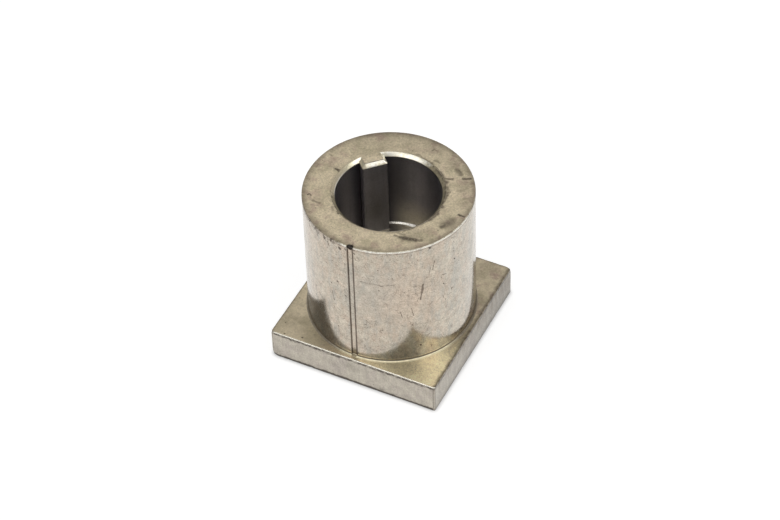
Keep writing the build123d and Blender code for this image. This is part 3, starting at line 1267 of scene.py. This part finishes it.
footFinish = {
    "dull": (0.36, 0.31, 0.24, 1),
    # The cream is a painted highlight low on the front, and the line above it is painted shade in the crease
    "cream": (0.90, 0.82, 0.58, 1),
    "line": (0.12, 0.095, 0.07, 1),
    "front": (-60, 13.5, 17.5),
    "low": (8.30, 8.42, 1.0, 0.0),                  # height where the cream part starts to end, and ends
    "lineSide": (-75, 9.0, 16.0, 0.3, 0.75),
    "lineBand": (8.58, 0.17, 0.7),
    "grains": ((0.8, 0.7, 0.4),),
    "rough": 0.4,
    "heightGrain": (0.5, 0.8),
    "bump": (0.3, 0.005),
    "metal": 0.7,
}


def makeFoot():
    # Narrow rounding between the hub's wall and the plate, with a painted highlight low on its front and a
    # line of painted shade in its crease
    material, tree = newMaterial("hub_foot")
    finish = footFinish
    place = millimetrePlace(tree)
    z = placeParts(tree, place)[2]
    creamShare = times(tree, sideOf(tree, place, *finish["front"]), mapRange(tree, z, *finish["low"]))
    color = mixColor(tree, creamShare, finish["dull"], finish["cream"])
    lineShare = times(tree, bandOf(tree, z, *finish["lineBand"]), sideOf(tree, place, *finish["lineSide"]))
    color = mixColor(tree, lineShare, color, finish["line"])
    color = grained(tree, color, place, finish["grains"])
    finishMaterial(tree, color, finish["rough"], grainOf(tree, place, *finish["heightGrain"]), finish["bump"],
                   finish["metal"])
    return material


sideFinish = {
    "base": (0.485, 0.447, 0.375, 1),
    "streak": (0.40, 0.352, 0.318, 1),
    "brown": (0.30, 0.245, 0.185, 1),
    "stain": (0.075, 0.062, 0.052, 1),
    "upright": 0.15,
    "streaks": (0.6, 0.35, 0.75),
    "streakShare": 0.35,
    "clouds": (2.6, 0.40, 0.70),
    "cloudShare": 0.55,
    "grains": ((0.5, 0.8, 0.42), (2.2, 0.8, 0.38)),
    # The side on +X is browner toward its top and its far end, and painted darker as shade, most toward its
    # far end
    "rightFrom": 21.5,
    "rightSlope": 0.12,
    "rightBrown": (2.0, 8.5, 0.0, 0.75),
    "rightClouds": (0.9, 0.30, 0.62),
    "rightDark": (-22.0, 22.0, 0.12, 0.36),
    "specks": (0.9, 0.15, 0.4),
    # Dark lines: grime along the top, painted shade along the foot, and two that bound the rounding of each
    # upright corner
    "swing": (1.8, 0.7, 1.0),
    "topSwing": 0.8,
    "topLine": (7.66, 0.56, 0.6),
    "broken": (1.0, 0.7, 0.80, 1.10, 0.40, 1.0),
    "footSwing": 0.6,
    "footRise": 0.3,                                # by which the foot's line is lower on +X
    "footLine": (0.60, 0.95, 1.0, 0.0),
    "footFade": 0.60,                               # by which it is fainter there
    "cornerLine": (0.42, 0.16, 0.8),
    "cornerShare": 0.6,
    # Dull patches: x, y, z, radius and strength
    "patches": ((-5.4, -22.0, 4.7, 1.9, 0.20), (-0.4, -22.0, 5.4, 2.6, 0.26), (8.1, -22.0, 7.1, 1.0, 0.45),
                (7.6, -22.0, 0.9, 1.3, 0.40), (-14.0, -22.0, 6.6, 1.6, 0.16), (-20.6, -22.0, 1.8, 2.2, 0.22)),
    "patchLength": 0.4,
    "patchWaves": (1.2, 0.7),
    "stainStrength": 0.88,
    "rough": (0.26, 0.38),
    "heightGrain": (0.5, 0.7),
    "bump": (0.35, 0.006),
}


def sideColor(tree, place, tall, streakMask, onRight, y, z):
    finish = sideFinish
    color = mixColor(tree, times(tree, streakMask, finish["streakShare"]), finish["base"], finish["streak"])
    cloudShare = times(tree, cloudOf(tree, place, *finish["clouds"]), finish["cloudShare"])
    color = mixColor(tree, cloudShare, color, finish["streak"])
    slope = plus(tree, z, times(tree, y, finish["rightSlope"]))
    brownMask = times(tree, onRight, mapRange(tree, slope, *finish["rightBrown"]),
                      cloudOf(tree, tall, *finish["rightClouds"]))
    color = mixColor(tree, brownMask, color, finish["brown"])
    darker = times(tree, onRight, mapRange(tree, y, *finish["rightDark"]))
    color = scaled(tree, color, less(tree, 1.0, darker))
    return grained(tree, color, place, finish["grains"])


def sideLines(tree, place, onRight, x, y, z):
    finish = sideFinish
    swing = swingOf(tree, place, *finish["swing"])
    high = plus(tree, z, times(tree, swing, finish["topSwing"]))
    topLine = times(tree, bandOf(tree, high, *finish["topLine"]), unevenOf(tree, place, *finish["broken"]))
    low = plus(tree, plus(tree, z, times(tree, swing, finish["footSwing"])),
               times(tree, onRight, finish["footRise"]))
    footLine = times(tree, mapRange(tree, low, *finish["footLine"]),
                     less(tree, 1.0, times(tree, onRight, finish["footFade"])))
    cornerGap = less(tree, calc(tree, "ABSOLUTE", x), calc(tree, "ABSOLUTE", y))
    cornerLine = bandOf(tree, calc(tree, "ABSOLUTE", cornerGap), *finish["cornerLine"])
    return [topLine, footLine, times(tree, cornerLine, finish["cornerShare"])]


def makeSide():
    material, tree = newMaterial("plate_side_steel")
    finish = sideFinish
    place = millimetrePlace(tree)
    x, y, z = placeParts(tree, place)[:3]
    tall = upright(tree, place, finish["upright"])
    streakMask = cloudOf(tree, tall, *finish["streaks"])
    onRight = calc(tree, "GREATER_THAN", x, finish["rightFrom"])
    color = sideColor(tree, place, tall, streakMask, onRight, y, z)
    drifting = moved(tree, place, *finish["patchWaves"])
    patches = [
        times(tree, dabOf(tree, drifting, dabX, dabY, dabZ, finish["patchLength"], width, 1.0), strength)
        for dabX, dabY, dabZ, width, strength in finish["patches"]
    ]
    dark = strongest(tree, sideLines(tree, place, onRight, x, y, z) + patches
                     + [speckOf(tree, place, *finish["specks"]), dirtAndShadeOf(tree)])
    # Dark colour for stains and for the painted shade along the foot
    color = mixColor(tree, times(tree, dark, finish["stainStrength"]), color, finish["stain"])
    rough = mapRange(tree, streakMask, 0.0, 1.0, *finish["rough"])
    relief = less(tree, grainOf(tree, tall, *finish["heightGrain"]), dark)
    finishMaterial(tree, color, rough, relief, finish["bump"])
    return material


edgeFinish = {
    "bright": (0.97, 0.93, 0.82, 1),
    "dull": (0.42, 0.36, 0.27, 1),
    "grime": (0.14, 0.11, 0.085, 1),
    "plateReach": (-0.6, -0.3),                     # from the side's face, where the plate's shine starts
    "broken": (1.2, 0.7, 0.72, 0.92, 0.60, 1.0),
    "grimeClouds": (1.2, 0.42, 0.62),
    "grimeShare": (0.85, 0.12),                     # on a dull stretch and on a bright one
    "rough": (0.42, 0.20),
    "heightGrain": (0.5, 0.8),
    "bump": (0.4, 0.006),
    "rimMetal": 0.4,
    "plateMetal": 0.9,
}


def plateEdgeHighlight(tree, place):
    # The plate's upper edge gets a painted highlight only on the side of the flute
    start, end = edgeFinish["plateReach"]
    half = adapter["plateHalf"]
    return sideOf(tree, place, adapter["fluteAngle"], half + start, half + end)


def makeEdge(name, metal, highlightOf):
    # A narrow edge with a painted highlight in places, and dull elsewhere, with blotches of grime and painted
    # shade that are strongest where there is no highlight
    material, tree = newMaterial(name)
    finish = edgeFinish
    place = millimetrePlace(tree)
    worn = highlightOf(tree, place)
    shine = times(tree, worn, unevenOf(tree, place, *finish["broken"]))
    color = mixColor(tree, shine, finish["dull"], finish["bright"])
    grime = times(tree, cloudOf(tree, place, *finish["grimeClouds"]),
                  mapRange(tree, worn, 0.0, 1.0, *finish["grimeShare"]))
    color = mixColor(tree, strongest(tree, [grime, dirtAndShadeOf(tree)]), color, finish["grime"])
    rough = mapRange(tree, worn, 0.0, 1.0, *finish["rough"])
    finishMaterial(tree, darkPits(tree, color), rough, grainOf(tree, place, *finish["heightGrain"]),
                   finish["bump"], metal)
    return material


mouthFinish = {
    "bright": (0.97, 0.94, 0.85, 1),
    "beige": (0.88, 0.82, 0.62, 1),
    "yellowed": (0.84, 0.78, 0.55, 1),
    "plain": (0.70, 0.61, 0.45, 1),
    "oil": (0.43, 0.375, 0.255, 1),
    "brown": (0.13, 0.105, 0.08, 1),
    "beigeClouds": (0.9, 0.35, 0.70),
    "yellowSide": (205, 7.2, 9.6, 0.0, 0.85),
    "plainSide": (205, 9.0, 12.0),
    "innerLine": (12.84, 12.98, 0.8, 0.0),          # radius where the painted highlight line starts to end, and ends
    # Oil: which way it lies, how it swings and where it ends
    "oilAngle": 140,
    "oilSwing": (1.6, 0.8, 3.0),
    "oilReach": (3.0, 6.0, 1.0, 0.0),
    # The facet on the key's left flank gets painted shade
    "facetFrom": (2.0, 2.4),
    "facetTo": (3.1, 3.4, 1.0, 0.0),
    "facetEnd": (12.6, 12.9, 1.0, 0.0),
    "facetShare": 0.75,
    "smudgeReach": (12.9, 13.5, 0.35, 1.0),
    "smudgeClouds": (1.1, 0.42, 0.56),
    "smudgeShare": 0.85,
    "grains": ((0.5, 0.8, 0.4),),
    "rough": (0.30, 0.45),
    "metal": (0.8, 0.3),                            # where it is bright, and where it is plain
    "oilMetal": 0.6,
    "heightGrain": (0.5, 0.8),
    "bump": (0.4, 0.006),
}


def mouthOilAndShade(tree, place):
    # Where the bevel is oily, and that together with the painted shade on the key's left facet
    finish = mouthFinish
    aside = plus(tree, toward(tree, place, finish["oilAngle"]), swingOf(tree, place, *finish["oilSwing"]))
    oily = mapRange(tree, aside, *finish["oilReach"])
    across = toward(tree, place, adapter["keyAngle"] + 90)
    facet = times(tree, mapRange(tree, across, *finish["facetFrom"]),
                  mapRange(tree, across, *finish["facetTo"]),
                  sideOf(tree, place, adapter["keyAngle"], *finish["facetEnd"]), finish["facetShare"])
    return oily, strongest(tree, [oily, facet])


def makeMouth():
    # Bevel of the socket's mouth: a painted highlight at the far side, plain at the left, oily at the right,
    # and painted shade on the key's left facet
    material, tree = newMaterial("socket_mouth_bevel")
    finish = mouthFinish
    place = millimetrePlace(tree)
    radius = placeParts(tree, place)[3]
    color = mixColor(tree, cloudOf(tree, place, *finish["beigeClouds"]), finish["bright"], finish["beige"])
    color = mixColor(tree, sideOf(tree, place, *finish["yellowSide"]), color, finish["yellowed"])
    plain = sideOf(tree, place, *finish["plainSide"])
    color = mixColor(tree, plain, color, finish["plain"])
    innerLine = times(tree, mapRange(tree, radius, *finish["innerLine"]), plain)
    color = mixColor(tree, innerLine, color, finish["bright"])
    oily, oil = mouthOilAndShade(tree, place)
    color = mixColor(tree, oil, color, finish["oil"])
    smudge = times(tree, oily, mapRange(tree, radius, *finish["smudgeReach"]),
                   cloudOf(tree, place, *finish["smudgeClouds"]), finish["smudgeShare"])
    color = mixColor(tree, smudge, color, finish["brown"])
    color = grained(tree, color, place, finish["grains"])
    rough = mapRange(tree, oil, 0.0, 1.0, *finish["rough"])
    plainest = strongest(tree, [plain, times(tree, oil, finish["oilMetal"])])
    finishMaterial(tree, color, rough, grainOf(tree, place, *finish["heightGrain"]), finish["bump"],
                   between(tree, plainest, *finish["metal"]))
    return material


boreFinish = {
    "base": (0.540, 0.520, 0.545, 1),
    "dark": (0.465, 0.45, 0.47, 1),
    "light": (0.98, 0.91, 0.76, 1),
    "floor": (0.44, 0.40, 0.32, 1),
    "glint": (0.98, 0.96, 0.90, 1),
    "corner": (0.12, 0.115, 0.135, 1),
    "upright": 0.06,
    "darkClouds": (2.0, 0.35, 0.70),
    # Painted light: paler low on the far wall, where it mirrors the socket's floor
    "lightHeight": (23.0, 32.5, 0.95, 0.0),
    "lightSide": (82, 8.5, 12.2),
    "lightClouds": (2.5, 0.10, 0.50),
    "floorShare": 0.9,
    "grains": ((0.6, 0.8, 0.26),),
    # Painted shade toward the right
    "rightSide": (40, 0.0, 6.0, 1.0, 0.84),
    # A painted glint on the corner of the floor at its far side: its height and its width, most in the middle
    "glintSide": (86, 11.85, 12.5),
    "glintHigh": (0.20, 0.62),
    "glintInner": (12.38, 12.04),
    # Painted shade in the corners beside the key: where the wall starts, and how far the shade reaches
    "wallFrom": -0.4,
    "behindKey": 4.0,
    "leftCorner": (3.6, 6.2, 0.70, 0.0),
    "rightCorner": (3.2, 9.9, 0.97, 0.0),
    # Painted shade: the key gets darker downward
    "keyTo": 10.9,
    "keyFrom": 0.5,
    "keyDark": (24.0, 40.0, 0.36, 0.05),
    "roughness": (2.0, 0.6, 0.8, 1.2, 0.32, 0.42),
    "heightGrain": (0.5, 0.7),
    "bump": (0.3, 0.005),
}


def boreGlint(tree, place, z, radius):
    # A painted glint at the far side of the floor's corner
    finish = boreFinish
    farSide = sideOf(tree, place, *finish["glintSide"])
    low, high = finish["glintHigh"]
    floor = adapter["socketFloor"]
    below = calc(tree, "LESS_THAN", z, between(tree, farSide, floor + low, floor + high))
    inside = calc(tree, "GREATER_THAN", radius, between(tree, farSide, *finish["glintInner"]))
    return times(tree, below, inside, farSide)


def boreCorners(tree, place, radius):
    # Painted shade in the corners beside the key
    finish = boreFinish
    onWall = calc(tree, "GREATER_THAN", radius, adapter["socketRadius"] + finish["wallFrom"])
    keySide = calc(tree, "GREATER_THAN", toward(tree, place, adapter["keyAngle"]), finish["behindKey"])
    aside = toward(tree, place, adapter["keyAngle"] + 90)
    left = mapRange(tree, aside, *finish["leftCorner"])
    right = mapRange(tree, times(tree, aside, -1.0), *finish["rightCorner"])
    isLeft = calc(tree, "GREATER_THAN", aside, 0.0)
    corner = plus(tree, times(tree, isLeft, left), times(tree, less(tree, 1.0, isLeft), right))
    return times(tree, corner, keySide, onWall)


def makeBore():
    # The socket's wall, key and floor, and the bolt hole, with painted light, shade and a glint
    material, tree = newMaterial("oiled_bore")
    finish = boreFinish
    place = millimetrePlace(tree)
    z, radius = placeParts(tree, place)[2:]
    tall = upright(tree, place, finish["upright"])
    color = mixColor(tree, cloudOf(tree, tall, *finish["darkClouds"]), finish["base"], finish["dark"])
    light = times(tree, mapRange(tree, z, *finish["lightHeight"]), sideOf(tree, place, *finish["lightSide"]),
                  cloudOf(tree, place, *finish["lightClouds"]))
    color = mixColor(tree, light, color, finish["light"])
    onFloor = calc(tree, "LESS_THAN", z, adapter["socketFloor"] + tiny)
    color = mixColor(tree, times(tree, onFloor, finish["floorShare"]), color, finish["floor"])
    color = grained(tree, color, place, finish["grains"])
    color = scaled(tree, color, sideOf(tree, place, *finish["rightSide"]))
    color = mixColor(tree, boreCorners(tree, place, radius), color, finish["corner"])
    onKey = times(tree, calc(tree, "LESS_THAN", radius, finish["keyTo"]),
                  calc(tree, "GREATER_THAN", z, adapter["socketFloor"] + finish["keyFrom"]))
    keyDark = times(tree, onKey, mapRange(tree, z, *finish["keyDark"]))
    color = scaled(tree, color, less(tree, 1.0, keyDark))
    color = mixColor(tree, boreGlint(tree, place, z, radius), color, finish["glint"])
    rough = unevenOf(tree, place, *finish["roughness"])
    finishMaterial(tree, color, rough, grainOf(tree, tall, *finish["heightGrain"]), finish["bump"])
    return material


floorBevelFinish = {
    "bright": (0.95, 0.93, 0.86, 1),
    "dull": (0.80, 0.76, 0.66, 1),
    "dullClouds": (0.8, 0.35, 0.7),
    "rough": 0.26,
    "roughGrain": (1.0, 0.6, 0.2),
    "heightGrain": (0.5, 0.8),
    "bump": (0.1, 0.002),
}


def makeFloorBevel():
    # The polished corner between the socket's wall and its floor
    material, tree = newMaterial("socket_floor_bevel")
    finish = floorBevelFinish
    place = millimetrePlace(tree)
    color = mixColor(tree, cloudOf(tree, place, *finish["dullClouds"]), finish["bright"], finish["dull"])
    rough = times(tree, grainOf(tree, place, *finish["roughGrain"]), finish["rough"])
    finishMaterial(tree, color, rough, grainOf(tree, place, *finish["heightGrain"]), finish["bump"])
    return material


def addMaterials(piece):
    bore = makeBore()
    finishes = {
        "skin": makeSkin(),
        "hubTop": makeHubTop(),
        "plateTop": makePlateTop(),
        "foot": makeFoot(),
        "side": makeSide(),
        "socket": bore,
        "hole": bore,
        "mouth": makeMouth(),
        "floorBevel": makeFloorBevel(),
        "rim": makeEdge("worn_rim", edgeFinish["rimMetal"], rimHighlight),
        "plateEdge": makeEdge("worn_plate_edge", edgeFinish["plateMetal"], plateEdgeHighlight),
    }
    for zone in zones:
        piece.data.materials.append(finishes[zone])


studio = {
    "floorSize": 4.0,
    "room": (0.25, 0.245, 0.23, 1),
    "white": (1, 1, 1, 1),
    "floorColor": (0.42, 0.42, 0.42, 1),
    "floorGlow": 0.765,
    "contactReach": 1.05 * mm,
    "contactSamples": 16,
}

# Softboxes. A glow of 1 reflects as white.
lamps = (
    {"name": "overhead", "azimuth": -60, "elevation": 80, "away": 0.80, "wide": 0.60, "high": 0.55,
     "glow": 1.25},
    {"name": "right_side", "azimuth": -2, "elevation": 43, "away": 0.80, "wide": 0.46, "high": 0.38,
     "glow": 2.00},
    {"name": "left_front", "azimuth": -108, "elevation": 40, "away": 0.80, "wide": 0.66, "high": 0.42,
     "glow": 1.50},
    {"name": "back", "azimuth": 118, "elevation": 45, "away": 0.90, "wide": 1.05, "high": 0.85,
     "glow": 0.50},
)


def makeFloor():
    # White floor that keeps the object's soft shadow, and a painted contact shadow beside the plate
    bm = bmesh.new()
    bmesh.ops.create_grid(bm, x_segments=1, y_segments=1, size=studio["floorSize"] / 2)
    mesh = bpy.data.meshes.new("studio_floor")
    bm.to_mesh(mesh)
    bm.free()
    floor = bpy.data.objects.new("studio_floor", mesh)
    bpy.context.scene.collection.objects.link(floor)
    material, tree = newMaterial("white_floor")
    paths = addNode(tree, "ShaderNodeLightPath").outputs
    kinds = ("Is Camera Ray", "Is Glossy Ray", "Is Transmission Ray")
    seen = strongest(tree, [paths[kind] for kind in kinds])
    # Painted contact shadow: the glow is dimmed where the plate is close
    paintedContactShadow = addNode(tree, "ShaderNodeAmbientOcclusion", {"Distance": studio["contactReach"]},
                        samples=studio["contactSamples"]).outputs["AO"]
    glow = addNode(tree, "ShaderNodeEmission", {"Color": studio["white"]})
    tree.links.new(times(tree, seen, studio["floorGlow"], paintedContactShadow), glow.inputs["Strength"])
    matte = addNode(tree, "ShaderNodeBsdfDiffuse", {"Color": studio["floorColor"]})
    both = addNode(tree, "ShaderNodeAddShader", {0: glow.outputs[0], 1: matte.outputs[0]})
    out = addNode(tree, "ShaderNodeOutputMaterial")
    tree.links.new(both.outputs[0], out.inputs[0])
    mesh.materials.append(material)


def makeWorld():
    # White to the camera, and a dim room in what the steel mirrors
    world = bpy.data.worlds.new("studio_world")
    bpy.context.scene.world = world
    world.use_nodes = True
    tree = world.node_tree
    tree.nodes.clear()
    seen = addNode(tree, "ShaderNodeLightPath").outputs["Is Camera Ray"]
    room = addNode(tree, "ShaderNodeBackground", {"Color": studio["room"]}).outputs[0]
    white = addNode(tree, "ShaderNodeBackground", {"Color": studio["white"]}).outputs[0]
    mix = addNode(tree, "ShaderNodeMixShader", {0: seen, 1: room, 2: white})
    out = addNode(tree, "ShaderNodeOutputWorld")
    tree.links.new(mix.outputs[0], out.inputs[0])


def makeLights():
    for lamp in lamps:
        light = bpy.data.lights.new(lamp["name"], "AREA")
        light.shape = "RECTANGLE"
        light.size = lamp["wide"]
        light.size_y = lamp["high"]
        light.energy = lamp["glow"] * math.pi * lamp["wide"] * lamp["high"]
        azimuth = math.radians(lamp["azimuth"])
        elevation = math.radians(lamp["elevation"])
        flat = onCircle(azimuth, math.cos(elevation))
        outward = Vector((flat.x, flat.y, math.sin(elevation)))
        holder = bpy.data.objects.new(lamp["name"], light)
        holder.location = outward * lamp["away"]
        holder.rotation_euler = outward.to_track_quat("Z", "Y").to_euler()
        bpy.context.scene.collection.objects.link(holder)


view = {
    "azimuth": 27.608,
    "elevation": 45.424,
    "roll": -1.927,
    "away": 0.643453,
    "target": (-0.000623, 0.000740, 0.020931),
    "focalPixels": 2662.81,
    "imageWidth": 780,
    "sensor": 36.0,
    "nearest": 0.01,
}


def makeCamera():
    azimuth = math.radians(view["azimuth"])
    elevation = math.radians(view["elevation"])
    roll = math.radians(view["roll"])
    right = Vector((math.cos(azimuth), math.sin(azimuth), 0))
    back = Vector((right.y * math.cos(elevation), -right.x * math.cos(elevation), math.sin(elevation)))
    up = back.cross(right)
    across = right * math.cos(roll) + up * math.sin(roll)
    upward = up * math.cos(roll) - right * math.sin(roll)
    data = bpy.data.cameras.new("photo_view")
    data.sensor_width = view["sensor"]
    data.lens = view["sensor"] * view["focalPixels"] / view["imageWidth"]
    data.clip_start = view["nearest"]
    camera = bpy.data.objects.new("photo_view", data)
    turn = Matrix((across, upward, back)).transposed().to_4x4()
    camera.matrix_world = Matrix.Translation(Vector(view["target"]) + back * view["away"]) @ turn
    bpy.context.scene.collection.objects.link(camera)
    bpy.context.scene.camera = camera


makeCamera()
makeFloor()
makeWorld()
makeLights()
print("studio ready")
body = makeAdapter()
addMaterials(body)
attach(body, "root")
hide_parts(adapter["node"])
bpy.context.scene.view_settings.view_transform = "Standard"
print("adapter finished")
